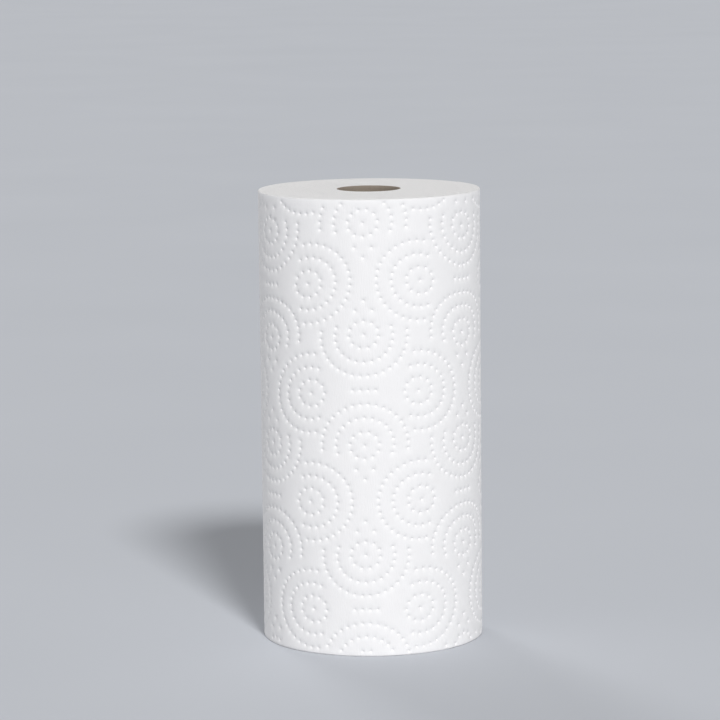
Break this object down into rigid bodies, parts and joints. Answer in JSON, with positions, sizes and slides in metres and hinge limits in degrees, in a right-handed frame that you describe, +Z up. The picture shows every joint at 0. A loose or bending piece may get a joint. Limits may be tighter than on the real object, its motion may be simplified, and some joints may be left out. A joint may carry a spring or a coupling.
{
  "type": "paper towel roll",
  "caption": "Upright roll of white embossed paper towel wound on a hollow paperboard core; stands on either end or slides over a post.",
  "frame": {"origin": "on the core's axis, in the end face that the roll stands on", "axes": "+Z up along the core's axis, -Y towards the front; the free edge of the web is at the back, 35 degrees from +X towards +Y"},
  "size_m": [0.1369, 0.1367, 0.2794],
  "materials": {
    "towel_paper": "matte",
    "core_board": "matte"
  },
  "bodies": {
    "root": {"towel_roll": "towel_paper", "core_tube": "core_board"}
  },
  "joints": []
}
